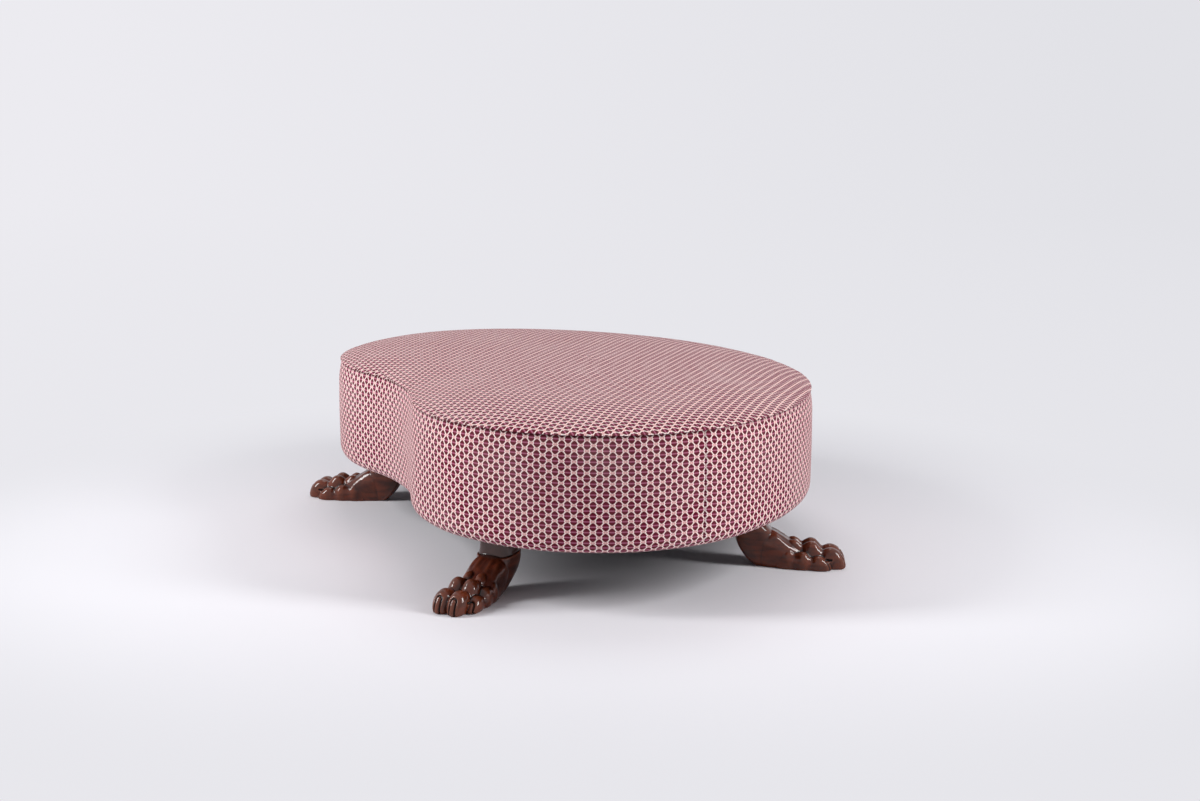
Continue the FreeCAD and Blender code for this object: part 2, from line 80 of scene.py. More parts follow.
def makePiece(name, points, faces):
    mesh = bpy.data.meshes.new(name)
    mesh.from_pydata(points.tolist(), [], faces)
    mesh.update()
    mesh.polygons.foreach_set("use_smooth", [True] * len(mesh.polygons))
    piece = bpy.data.objects.new(name, mesh)
    bpy.context.scene.collection.objects.link(piece)
    return piece


def gridFaces(rows, columns, wrapColumns=False):
    # Quads between neighbouring points of a grid whose index is row * columns + column
    r = np.arange(rows - 1)
    c = np.arange(columns if wrapColumns else columns - 1)
    r, c = [a.ravel() for a in np.meshgrid(r, c, indexing="ij")]
    cNext = (c + 1) % columns
    near, far = r * columns, (r + 1) * columns
    return np.stack([near + c, far + c, far + cNext, near + cNext], 1)


def fanFaces(ring, tip):
    # Triangles from each edge of a closed ring of indices to one point
    return np.stack([ring, np.roll(ring, -1), np.full(len(ring), tip)], 1)


def setThreadMap(piece, uv):
    # The weave's own coordinates, in metres along and across the threads
    layer = piece.data.uv_layers.new(name="threadMap")
    index = np.zeros(len(piece.data.loops), dtype=np.int32)
    piece.data.loops.foreach_get("vertex_index", index)
    layer.data.foreach_set("uv", uv[index].astype(np.float32).ravel())


def setAttribute(piece, name, values):
    # One number, or one vector, for each point of the mesh
    kind, field = ("FLOAT", "value") if values.ndim == 1 else ("FLOAT_VECTOR", "vector")
    store = piece.data.attributes.new(name, kind, "POINT")
    store.data.foreach_set(field, values.astype(np.float32).ravel())


def waves(x, y, seed, count, longest, shortest):
    # Sum of sine waves in random directions, whole arrays at once
    rng = np.random.default_rng(seed)
    total = np.zeros_like(x)
    for length in np.geomspace(longest, shortest, count):
        turn, phase = rng.uniform(0, 2 * math.pi, 2)
        total += np.sin((x * math.cos(turn) + y * math.sin(turn)) * 2 * math.pi / length + phase)
    return total / math.sqrt(count)


# Outline of the body: six tangent arcs, seen from above
outline = {
    "length": 1.404,
    "backRise": 0.6084,
    "backEndRadius": 0.4078,
    "lobeRadius": 0.4052,
    "notchDepth": 0.044,
    "seamTurn": math.radians(9.8),
    "bottom": 0.130,
    "seam": 0.3745,
}
bodyDepth = outline["backRise"] + outline["lobeRadius"]
halfLength, backY = outline["length"] / 2, bodyDepth / 2
endY = outline["lobeRadius"] - backY
endX = halfLength - outline["backEndRadius"]
lobeX = halfLength - outline["lobeRadius"]
backRadius = (endX ** 2 + outline["backRise"] ** 2 - outline["backEndRadius"] ** 2) / (
    2 * (outline["backRise"] - outline["backEndRadius"]))
notchRadius = (lobeX ** 2 + (outline["lobeRadius"] - outline["notchDepth"]) ** 2
               - outline["lobeRadius"] ** 2) / (2 * outline["notchDepth"])
backTurn = math.atan2(endY - (backY - backRadius), endX)
notchY = -backY + outline["notchDepth"] - notchRadius
lobeTurn = math.atan2(endY - notchY, lobeX)
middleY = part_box("band_cover_back")[1].y - backY
seamTurn = outline["seamTurn"]
# The arcs, of which the two that cross a seam are split there: centre, radius, first angle, turn,
# and -1 where the outline swells or 1 at the notch
arcs = np.array([
    (endX, endY, outline["backEndRadius"], seamTurn, backTurn - seamTurn, -1),
    (0, backY - backRadius, backRadius, backTurn, math.pi - 2 * backTurn, -1),
    (-endX, endY, outline["backEndRadius"], math.pi - backTurn, backTurn - seamTurn, -1),
    (-endX, endY, outline["backEndRadius"], math.pi - seamTurn, seamTurn, -1),
    (-lobeX, endY, outline["lobeRadius"], math.pi, math.pi - lobeTurn, -1),
    (0, notchY, notchRadius, math.pi - lobeTurn, 2 * lobeTurn - math.pi, 1),
    (lobeX, endY, outline["lobeRadius"], lobeTurn - math.pi, math.pi - lobeTurn, -1),
    (endX, endY, outline["backEndRadius"], 0, seamTurn, -1),
])
arcLengths = arcs[:, 2] * np.abs(arcs[:, 4])
arcStarts = np.concatenate([[0], np.cumsum(arcLengths)])
roundLength = arcStarts[-1]
backLength = arcStarts[3]


def outlinePoint(s, inset):
    # Point at distance s along the outline from the right-hand seam, drawn in by inset:
    # the arc's centre plus its radius, less the inset, along the arc's own angle
    s = np.mod(s, roundLength)
    which = np.clip(np.searchsorted(arcStarts, s, side="right") - 1, 0, len(arcs) - 1)
    x, y, radius, first, turn, inward = np.moveaxis(arcs[which], -1, 0)
    angle = first + np.sign(turn) * (s - arcStarts[which]) / radius
    reach = radius + inward * inset
    return x + reach * np.cos(angle), y + reach * np.sin(angle) + middleY


# The camera's place was worked out from the outline, the seams and the feet
camera = {
    "place": (3.5899, -1.5274, 1.060),
    "forward": (-0.9166, 0.3998),
    "tilt": math.radians(10.93),
    "roll": math.radians(0.497),
    "lens": 50.0,
    "sensor": 36.0,
    "farLimit": 60.0,
}
cameraData = bpy.data.cameras.new("camera")
cameraData.lens = camera["lens"]
cameraData.sensor_width = camera["sensor"]
cameraData.clip_end = camera["farLimit"]
cameraObject = bpy.data.objects.new("camera", cameraData)
bpy.context.scene.collection.objects.link(cameraObject)
level = math.cos(camera["tilt"])
ahead = np.array([camera["forward"][0] * level, camera["forward"][1] * level,
                  -math.sin(camera["tilt"])])
ahead /= np.linalg.norm(ahead)
right = np.cross(ahead, (0, 0, 1))
right /= np.linalg.norm(right)
over = np.cross(right, ahead)
rolled = right * math.cos(camera["roll"]) + over * math.sin(camera["roll"])
raised = over * math.cos(camera["roll"]) - right * math.sin(camera["roll"])
cameraObject.matrix_world = Matrix([
    [rolled[0], raised[0], -ahead[0], camera["place"][0]],
    [rolled[1], raised[1], -ahead[1], camera["place"][1] + middleY],
    [rolled[2], raised[2], -ahead[2], camera["place"][2]],
    [0, 0, 0, 1]])
bpy.context.scene.camera = cameraObject
print("camera set")

# Studio: pale lavender-grey floor that sweeps up at the back, softboxes at both sides and above
studio = {
    "floorReach": 9.0,
    "floorHalf": 14.0,
    "sweepRadius": 2.0,
    "sweepHeight": 7.0,
    "paper": "#E5E4E9",
    "paperPale": "#E9E8ED",
    "backLeft": "#ECEBF0",
    "backRight": "#E2E2E7",
    "backWidth": 4.5,
    "evenFrom": 4.2,
    "fadeFrom": 0.8,
    "fadeTo": 1.7,
    "air": "#F2F2F6",
    "airStrength": 0.24,
    "aimHeight": 0.25,
    # to the camera's right, beyond the middle, height, width, length, power in watts
    "softboxLeft": (-3.1, -0.9, 1.9, 0.7, 2.0, 102.0),
    "softboxRight": (2.9, -1.3, 2.0, 0.7, 2.0, 89.0),
    "softboxTop": (0.0, 1.2, 3.3, 1.8, 1.8, 25.0),
}
planAhead = ahead[:2] / np.linalg.norm(ahead[:2])


def seenFactor(tree):
    # 1 for rays from the camera, from gloss and through glass, 0 for the rays that light things
    light = addNode(tree, "LightPath").node.outputs
    seen = addNode(tree, "Math", [light["Is Camera Ray"], light["Is Glossy Ray"]],
                   operation="MAXIMUM")
    return addNode(tree, "Math", [seen, light["Is Transmission Ray"]], operation="MAXIMUM")


def backColour(tree):
    # Background tone: a little paler at the camera's left, and even where the floor ends, behind
    # the camera and far to its sides
    place = addNode(tree, "TexCoord", output=3)
    sideways = addNode(tree, "VectorMath", [place, tuple(right)], output=1, operation="DOT_PRODUCT")
    width, half = studio["backWidth"], studio["floorHalf"]
    share = addNode(tree, "MapRange", [sideways, -width, width, 0.0, 1.0])
    behind = addNode(tree, "VectorMath", [place, (-planAhead[0], -planAhead[1], 0)], output=1,
                     operation="DOT_PRODUCT")
    behind = addNode(tree, "MapRange", [behind, studio["evenFrom"], studio["floorReach"], 0.0, 1.0])
    share = addNode(tree, "Math", [share, behind], operation="MAXIMUM")
    aside = addNode(tree, "Math", [sideways], operation="ABSOLUTE")
    aside = addNode(tree, "MapRange", [aside, half / 2, half, 0.0, 1.0])
    share = addNode(tree, "Math", [share, aside], operation="MAXIMUM")
    left, back = hexColour(studio["backLeft"]), hexColour(studio["backRight"])
    return addNode(tree, "Mix", {0: share, 6: left, 7: back}, **colourMix)


def makeFloor():
    # Flat floor with a quarter-round sweep behind, as a profile carried sideways
    reach, radius = studio["floorReach"], studio["sweepRadius"]
    turn = np.linspace(0, math.pi / 2, 24)
    along = np.concatenate([[-reach], reach + radius * np.sin(turn), [reach + radius]])
    up = np.concatenate([[0], radius - radius * np.cos(turn), [studio["sweepHeight"]]])
    a, c = np.meshgrid(along, np.array([-1.0, 1.0]) * studio["floorHalf"], indexing="ij")
    z = np.repeat(up[:, None], 2, 1)
    x, y = a * planAhead[0] + c * planAhead[1], a * planAhead[1] - c * planAhead[0]
    points = np.stack([x, y, z], -1)
    floor = makePiece("studioFloor", points.reshape(-1, 3), gridFaces(len(along), 2).tolist())
    material, tree, shader = newMaterial("paperSweep")
    # Matt seamless paper: a faint mottling near the object, an even pale tone further off
    place = addNode(tree, "TexCoord", output=3)
    mottle = addNode(tree, "TexNoise", {"Vector": place, "Scale": 1.3, "Detail": 2.0})
    plain, pale = hexColour(studio["paper"]), hexColour(studio["paperPale"])
    tone = addNode(tree, "Mix", {0: mottle, 6: plain, 7: pale}, **colourMix)
    tree.links.new(tone, shader.inputs["Base Color"])
    shader.inputs["Roughness"].default_value = 0.8
    shader.inputs["Specular IOR Level"].default_value = 0.15
    distance = addNode(tree, "VectorMath", [place], output=1, operation="LENGTH")
    fade = addNode(tree, "MapRange", [distance, studio["fadeFrom"], studio["fadeTo"], 0.0, 1.0],
                   **softStep)
    factor = addNode(tree, "Math", [fade, seenFactor(tree)], operation="MULTIPLY")
    glow = addNode(tree, "Emission", [backColour(tree), 1.0])
    mixed = addNode(tree, "MixShader", [factor, shader.outputs[0], glow])
    tree.links.new(mixed, tree.nodes["Material Output"].inputs["Surface"])
    floor.data.materials.append(material)


def softbox(name, sideways, beyond, height, width, length, power):
    # Oblong softbox aimed at the body's middle; the narrow ones give the polish its thin highlights
    place = np.array([right[0] * sideways + planAhead[0] * beyond,
                      right[1] * sideways + planAhead[1] * beyond + middleY, height])
    way = np.array([0, middleY, studio["aimHeight"]]) - place
    way /= np.linalg.norm(way)
    side = np.cross(way, (0.0, 0.001, 1.0))
    side /= np.linalg.norm(side)
    top = np.cross(side, way)
    lamp = bpy.data.lights.new(name, "AREA")
    lamp.shape = "RECTANGLE"
    lamp.size = width
    lamp.size_y = length
    lamp.energy = power
    lampObject = bpy.data.objects.new(name, lamp)
    lampObject.visible_camera = False
    bpy.context.scene.collection.objects.link(lampObject)
    lampObject.matrix_world = Matrix([
        [side[0], top[0], -way[0], place[0]],
        [side[1], top[1], -way[1], place[1]],
        [side[2], top[2], -way[2], place[2]],
        [0, 0, 0, 1]])


makeFloor()
for name in ("softboxLeft", "softboxRight", "softboxTop"):
    softbox(name, *studio[name])
world = bpy.data.worlds.new("studioAir")
bpy.context.scene.world = world
world.use_nodes = True
airTree = world.node_tree
dim = addNode(airTree, "Background", [hexColour(studio["air"]), studio["airStrength"]])
pale = addNode(airTree, "Background", [hexColour(studio["backRight"]), 1.0])
airMix = addNode(airTree, "MixShader", [seenFactor(airTree), dim, pale])
airTree.links.new(airMix, airTree.nodes["World Output"].inputs["Surface"])
bpy.context.scene.view_settings.view_transform = "Standard"
print("studio lit")

# Patterned weave, sizes in millimetres: wine-red lozenges on a pale pink ground, staggered.
# The ground is the warp's pink, cream yarn edges the lozenges and mauve yarn runs through them.
weave = {
    "pitchAlong": 24.7,
    "pitchUp": 22.0,
    "lozengeWidth": 7.6,
    "lozengeHeight": 8.2,
    "waist": 1.7,
    "widthPower": 1.6,
    "heightPower": 1.4,
    # each span is where a thing begins and where it is full: heights above the lozenge's middle,
    # or shares of the lozenge, where one is its edge
    "waistSpan": (0.4, 2.4),
    "edgeSpan": (1.11, 0.93),
    "haloInner": (1.00, 1.15),
    "haloOuter": (1.75, 1.35),
    "flankSpan": (7.5, 5.0),
    "tipHalo": 0.35,
    "streakSpan": (2.4, 1.1),
    "streakShare": 0.9,
    "hairSpan": (0.9, 0.2),
    "hairShare": 0.6,
    "wander": (0.9, 0.6, 0),
    "ribPitch": 1.7,
    "threadPitch": 1.2,
    "dyes": {
        "wine": "#6C0A25",
        "wineDeep": "#4D0618",
        "mauve": "#9E4063",
        "mauvePale": "#CC93A3",
        "ground": "#E7B1AD",
        "groundDeep": "#D19794",
        "cream": "#FFF2EE",
        "wornTone": "#F3E4E0",
        # colour of the painted shadow under the top panel's lip
        "lipShadowPaint": "#2A0B11",
    },
}


def makeWeave():
    # Jacquard weave of cotton and viscose: matt and finely ribbed, the lozenges' edges step from
    # weft to weft, and the viscose gives a pale sheen at a low angle
    material, tree, shader = newMaterial("jacquardWeave")
    dye = {name: hexColour(code) for name, code in weave["dyes"].items()}
    thread = addNode(tree, "UVMap", uv_map="threadMap")
    drift = addNode(tree, "TexNoise", {"Vector": thread, "Scale": 60.0, "Detail": 1.0}, output=1,
                    noise_dimensions="2D")
    # The threads wander by about a quarter of a millimetre
    drift = addNode(tree, "VectorMath", [drift, (0.5, 0.5, 0.5)], operation="SUBTRACT")
    place = addNode(tree, "VectorMath", [thread, (1000, 1000, 0)], operation="MULTIPLY")
    place = addNode(tree, "VectorMath", [drift, weave["wander"], place], operation="MULTIPLY_ADD")
    # Offset from the nearest lozenge's centre: one lattice, and the same moved by half a pitch
    half = (weave["pitchAlong"] / 2, weave["pitchUp"] / 2, 1)
    least = (-half[0], -half[1], -1)
    first = addNode(tree, "VectorMath", [place, half, least], operation="WRAP")
    moved = addNode(tree, "VectorMath", [place, half], operation="ADD")
    second = addNode(tree, "VectorMath", [moved, half, least], operation="WRAP")
    size = addNode(tree, "VectorMath", [first], operation="ABSOLUTE")
    share = addNode(tree, "VectorMath", [size, (0.5 / half[0], 0.5 / half[1], 0)], output=1,
                    operation="DOT_PRODUCT")
    nearer = addNode(tree, "Math", [share, 0.5], operation="LESS_THAN")
    offset = addNode(tree, "Mix", {0: nearer, 4: second, 5: first}, output=1, data_type="VECTOR")
    size = addNode(tree, "VectorMath", [offset], operation="ABSOLUTE")
    across = addNode(tree, "SeparateXYZ", [size])
    up = across.node.outputs["Y"]
    # Lozenge: the width's share and the height's share, each raised to its power, add up to one on
    # the edge. The height goes up half in steps from rib to rib, and the waist is narrower.
    rows = addNode(tree, "Math", [up, weave["ribPitch"]], operation="SNAP")
    rows = addNode(tree, "Math", [rows, weave["ribPitch"] / 2], operation="ADD")
    stepped = addNode(tree, "Mix", {0: 0.5, 2: up, 3: rows})
    width = weave["lozengeWidth"]
    reach = addNode(tree, "MapRange", [up, *weave["waistSpan"], width - weave["waist"], width],
                    **softStep)
    wide = addNode(tree, "Math", [across, reach], operation="DIVIDE")
    wide = addNode(tree, "Math", [wide, weave["widthPower"]], operation="POWER")
    tall = addNode(tree, "Math", [stepped, weave["lozengeHeight"]], operation="DIVIDE")
    tall = addNode(tree, "Math", [tall, weave["heightPower"]], operation="POWER")
    shape = addNode(tree, "Math", [wide, tall], operation="ADD")
    inside = addNode(tree, "MapRange", [shape, *weave["edgeSpan"], 0.0, 1.0], **softStep)
    # Cream yarn hugs the lozenge's flanks and thins out at its tips
    haloIn = addNode(tree, "MapRange", [shape, *weave["haloInner"], 0.0, 1.0], **softStep)
    haloOut = addNode(tree, "MapRange", [shape, *weave["haloOuter"], 0.0, 1.0], **softStep)
    flank = addNode(tree, "MapRange", [up, *weave["flankSpan"], weave["tipHalo"], 1.0], **softStep)
    halo = addNode(tree, "Math", [haloIn, haloOut], operation="MULTIPLY")
    halo = addNode(tree, "Math", [halo, flank], operation="MULTIPLY")
    # Mauve yarn runs across the lozenge's middle, with one paler hair in it
    streak = addNode(tree, "MapRange", [up, *weave["streakSpan"], 0.0, weave["streakShare"]],
                     **softStep)
    hair = addNode(tree, "MapRange", [up, *weave["hairSpan"], 0.0, weave["hairShare"]], **softStep)
    yarn = addNode(tree, "TexNoise", {"Vector": thread, "Scale": 420.0, "Detail": 2.0},
                   noise_dimensions="2D")
    broad = addNode(tree, "TexNoise", {"Vector": thread, "Scale": 7.0, "Detail": 2.0},
                    noise_dimensions="2D")
    wine = addNode(tree, "Mix", {0: yarn, 6: dye["wineDeep"], 7: dye["wine"]}, **colourMix)
    mauve = addNode(tree, "Mix", {0: hair, 6: dye["mauve"], 7: dye["mauvePale"]}, **colourMix)
    lozenge = addNode(tree, "Mix", {0: streak, 6: wine, 7: mauve}, **colourMix)
    ground = addNode(tree, "Mix", {0: yarn, 6: dye["groundDeep"], 7: dye["ground"]}, **colourMix)
    ground = addNode(tree, "Mix", {0: halo, 6: ground, 7: dye["cream"]}, **colourMix)
    cloth = addNode(tree, "Mix", {0: inside, 6: ground, 7: lozenge}, **colourMix)
    # Broad patches are a little paler, as if worn
    worn = addNode(tree, "MapRange", [broad, 0.35, 0.75, 0.0, 0.05])
    cloth = addNode(tree, "Mix", {0: worn, 6: cloth, 7: dye["wornTone"]}, **colourMix)
    # Painted shadow: the first rows of the band under the top panel's lip are darkened in the
    # colour, standing in for the lip's shadow
    seamShade = addNode(tree, "Attribute", output=2, attribute_name="seamShade")
    cloth = addNode(tree, "Mix", {0: seamShade, 6: cloth, 7: dye["lipShadowPaint"]}, **colourMix)
    tree.links.new(cloth, shader.inputs["Base Color"])
    # Ribs across and threads along, drawn about twice as coarse as the real ones so that they show
    pace = (2 * math.pi / weave["threadPitch"], 2 * math.pi / weave["ribPitch"], 0)
    ribs = addNode(tree, "VectorMath", [place, pace], operation="MULTIPLY")
    ribs = addNode(tree, "VectorMath", [ribs], operation="SINE")
    relief = addNode(tree, "VectorMath", [ribs, (0.25, 0.25, 0)], output=1, operation="DOT_PRODUCT")
    relief = addNode(tree, "Math", [inside, 0.5, relief], operation="MULTIPLY_ADD")
    relief = addNode(tree, "Math", [yarn, 0.5, relief], operation="MULTIPLY_ADD")
    bump = addNode(tree, "Bump", {"Strength": 0.35, "Distance": 0.0006, "Height": relief})
    tree.links.new(bump, shader.inputs["Normal"])
    shader.inputs["Roughness"].default_value = 0.88
    shader.inputs["Specular IOR Level"].default_value = 0.12
    shader.inputs["Sheen Weight"].default_value = 0.07
    shader.inputs["Sheen Roughness"].default_value = 0.5
    return material


weaveMaterial = makeWeave()

# Seat pad: domed top panel, rounded at its sewn edge, closed under the deck line
seatPad = {
    "around": 720,
    "rim": 0.0036,
    "tuck": 0.0085,
    "edge": 0.011,
    "edgePower": 2.3,
    "rise": 0.0338,
    "run": 0.088,
    "lead": 0.003,
    "ringsReach": 0.36,
    "crownInset": 0.44,
    "under": 0.2987,
    "underInset": 0.0095,
    "settle": 0.0009,
    "settleRun": 0.12,
    # seed, number of waves, longest and shortest
    "settleWaves": (4, 5, 0.9, 0.25),
    "pull": 0.00035,
    "pullWaves": (9, 4, 0.11, 0.035),
    "crownShift": 0.02,
    # the cloth's pitch on the top against the pitch on the side, along and across
    "pitchShare": (24.2 / 24.7, 22.2 / 22.0),
}


def domeHeight(inset):
    # Height above the seam: the rise times one less a decaying exponential of the distance in,
    # brought down to the seam over a short rounded edge
    depth = inset - seatPad["rim"]
    height = seatPad["rise"] * (1 - np.exp(-(depth + seatPad["lead"]) / seatPad["run"]))
    share = np.clip(depth / seatPad["edge"], 0, 1)
    return height * (1 - (1 - share) ** seatPad["edgePower"]) ** (1 / seatPad["edgePower"])


def makeSeatPad():
    count = seatPad["around"]
    s = np.arange(count) * roundLength / count
    edge = seatPad["rim"] + seatPad["edge"] * (np.linspace(0, 1, 10) ** 2)
    inner = seatPad["rim"] + seatPad["edge"] + np.geomspace(0.004, seatPad["ringsReach"], 44)
    insets = np.concatenate([edge, inner])
    heights = outline["seam"] + domeHeight(insets)
    # Below the rim the cloth turns in to the seam, and the pad's hidden side goes down
    hidden = np.array([[seatPad["underInset"] + 0.02, seatPad["under"]],
                       [seatPad["underInset"], seatPad["under"] + 0.004],
                       [seatPad["underInset"], outline["seam"] - 0.006],
                       [seatPad["tuck"], outline["seam"] - 0.0022],
                       [seatPad["rim"] + 0.0010, outline["seam"] - 0.0012]])
    inset = np.concatenate([hidden[:, 0], insets])
    z = np.concatenate([hidden[:, 1], heights])
    ringS, ringInset = np.meshgrid(s, inset)
    x, y = outlinePoint(ringS, ringInset)
    height = np.repeat(z[:, None], count, 1)
    # The dome isn't quite even: long shallow waves, and faint drawn-in places along the seam,
    # strongest 12 mm in from it
    settle = np.clip((ringInset - 0.004) / seatPad["settleRun"], 0, 1)
    onTop = np.arange(len(inset))[:, None] >= len(hidden)
    swell = waves(x, y, *seatPad["settleWaves"])
    height += np.where(onTop, seatPad["settle"] * settle * swell, 0)
    pulls = waves(ringS, ringS * 0 + 0.3, *seatPad["pullWaves"])
    nearSeam = np.exp(-((ringInset - 0.012) / 0.012) ** 2)
    height += np.where(onTop, seatPad["pull"] * pulls * nearSeam, 0)
    points = np.stack([x, y, height], -1)
    # Inner rings shrink the last outline towards the middle
    last = points[-1]
    centre = np.array([0, middleY + seatPad["crownShift"], 0])
    shares = np.linspace(1, 0, 16)[1:-1]
    fill = centre + (last - centre) * shares[:, None, None]
    top = outline["seam"] + domeHeight(np.array([seatPad["crownInset"]]))[0]
    mixed = (1 - shares)[:, None] ** 1.2
    swell = waves(fill[..., 0], fill[..., 1], *seatPad["settleWaves"])
    lastSwell = waves(last[:, 0], last[:, 1], *seatPad["settleWaves"])[None]
    fill[..., 2] = (last[None, :, 2] * (1 - mixed) + top * mixed
                    + seatPad["settle"] * (swell - lastSwell) * mixed)
    rings = np.concatenate([points, fill])
    rows = len(rings)
    crown = np.array([[0, centre[1], rings[-1, :, 2].mean()]])
    foot = np.array([[0, middleY, seatPad["under"]]])
    allPoints = np.concatenate([rings.reshape(-1, 3), crown, foot])
    around = np.arange(count)
    faces = gridFaces(rows, count, wrapColumns=True)[:, ::-1].tolist()
    faces += fanFaces(around + (rows - 1) * count, rows * count).tolist()
    faces += fanFaces(around, rows * count + 1)[:, ::-1].tolist()
    piece = makePiece("seatPad", allPoints, faces)
    setThreadMap(piece, (allPoints[:, :2] - (0, middleY)) / seatPad["pitchShare"])
    piece.data.materials.append(weaveMaterial)
    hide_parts("top_cover", "top_wadding", "seat_foam")
    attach(piece, "root")


makeSeatPad()
print("seat pad made")

# Side bands: back half and front half, each a padded strip that rolls under the body
band = {
    "lip": 0.0030,
    "swell": 0.0070,
    "swellHeight": 0.062,
    "belly": 0.0004,
    "roll": 0.030,
    "under": 0.048,
    "hemRise": 0.0066,
    "hemEnd": 0.080,
    "inner": 0.0275,
    "hemTop": 0.1384,
    "innerFoot": 0.150,
    "innerTop": 0.2980,
    "seamDip": 0.0042,
    "seamWidth": 0.0017,
    # heights of the waves; then seed, number of waves, longest and shortest
    "slack": 0.0007,
    "slackWaves": (21, 5, 0.5, 0.14),
    "pull": 0.0004,
    "pullWaves": (33, 4, 0.09, 0.03),
    "pullReach": 0.022,
    # the cloth's stretch along the band, the pattern's place along and up from the seams, and how
    # far its rows rise as they leave the right-hand seam
    "shiftBack": (1.055, 0.0033, -0.00435, 0.0088),
    "shiftFront": (1.025, 0.02285, -0.0049, 0.0),
    "riseRun": 0.07,
    # how dark the painted shadow under the top panel's lip is on the first rows under the seam, and
    # how far down it reaches
    "shadeShare": 0.55,
    "shadeReach": 0.0034,
}


def bandProfile():
    # Distance in and height: from the seam down the swelling side, round the roll, under to the hem
    seam, bottom, roll = outline["seam"], outline["bottom"], band["roll"]
    down = np.linspace(0, 1, 22)
    z = seam - band["lip"] - (band["swellHeight"] - band["lip"]) * down
    inset = band["swell"] * (1 - down) ** 2 - band["belly"] * np.sin(down * math.pi)
    lip = np.array([[0.0115, seam - 0.0020], [0.0088, seam - 0.0018]])
    wall = np.linspace(z[-1], bottom + roll, 26)[1:]
    belly = -band["belly"] * 2 * np.sin(np.linspace(0, math.pi, 26))[1:]
    turn = np.linspace(0, math.pi / 2, 14)[1:]
    rolled = np.stack([roll - roll * np.cos(turn), bottom + roll - roll * np.sin(turn)], 1)
    inward, rise = band["under"], band["hemRise"]
    under = np.array([[0.036, 0], [0.042, 0], [inward, 0.0006], [inward + 0.004, 0.0040],
                      [inward + rise, rise - 0.0002], [0.068, rise], [band["hemEnd"], rise]])
    under[:, 1] += bottom
    rows = [lip, np.stack([inset, z], 1), np.stack([belly, wall], 1), rolled, under]
    return np.concatenate(rows), len(lip)


def makeBand(name, start, length, shift, replaced):
    profile, seamRow = bandProfile()
    steps = np.hypot(*np.diff(profile, axis=0).T)
    down = np.concatenate([[0], np.cumsum(steps)])
    down -= down[seamRow]
    count = int(length / 0.0065)
    edge = np.array([0.0002, 0.0006, 0.0012, 0.0020, 0.0030, 0.0044, 0.006])
    s = np.concatenate([edge, np.linspace(0.009, length - 0.009, count), length - edge[::-1]])
    # Inner side of the pad, hidden behind the cloth
    inner = np.array([[band["hemEnd"], band["hemTop"]], [0.0345, band["hemTop"]],
                      [band["inner"], band["innerFoot"]], [band["inner"], band["innerTop"]],
                      [0.0115, 0.2982]])
    inset, along = np.meshgrid(np.concatenate([profile[:, 0], inner[:, 0]]), s)
    z = np.repeat(np.concatenate([profile[:, 1], inner[:, 1]])[None], len(s), 0)
    # Cloth dips into the upright seams, lies in long shallow waves, and is drawn in here and there
    visible = (np.arange(inset.shape[1]) < len(profile))[None] & (z > outline["bottom"] + 0.0002)
    dip = band["seamDip"] * np.exp(-(np.minimum(along, length - along) / band["seamWidth"]) ** 1.4)
    slack = band["slack"] * waves(along + start, z * 1.4, *band["slackWaves"])
    tension = np.exp(-((outline["seam"] - z) / band["pullReach"]) ** 2)
    pulls = band["pull"] * waves(along + start, z * 0 + 0.1, *band["pullWaves"]) * tension
    calm = np.clip((outline["seam"] - z) / 0.03, 0, 1)
    x, y = outlinePoint(along + start, inset + np.where(visible, dip - slack * calm - pulls, 0))
    rows, columns = inset.shape
    faces = gridFaces(rows, columns, wrapColumns=True)[:, ::-1].tolist()
    faces.append(list(range(columns - 1, -1, -1)))
    faces.append(list(range((rows - 1) * columns, rows * columns)))
    piece = makePiece(name, np.stack([x, y, z], -1).reshape(-1, 3), faces)
    downMap = np.concatenate([down, np.full(len(inner), down[-1])])
    fromSeam = along if start == 0 else along - length
    rise = shift[3] * (1 - np.exp(-along / band["riseRun"]))
    uv = np.stack([fromSeam / shift[0] + shift[1], shift[2] + rise - downMap], -1)
    setThreadMap(piece, uv.reshape(-1, 2))
    # Painted shadow of the top panel's lip: darkest at the seam, gone a few millimetres down
    shade = band["shadeShare"] * np.exp(-(np.maximum(downMap, 0) / band["shadeReach"]) ** 2)
    setAttribute(piece, "seamShade", np.tile(shade, rows))
    piece.data.materials.append(weaveMaterial)
    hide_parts(*replaced)
    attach(piece, "root")


makeBand("bandBack", 0.0, backLength, band["shiftBack"],
         ["band_cover_back", "side_foam_back", "side_wadding"])
makeBand("bandFront", backLength, roundLength - backLength, band["shiftFront"],
         ["band_cover_front", "side_foam_left", "side_foam_front", "side_foam_right"])
print("bands made")

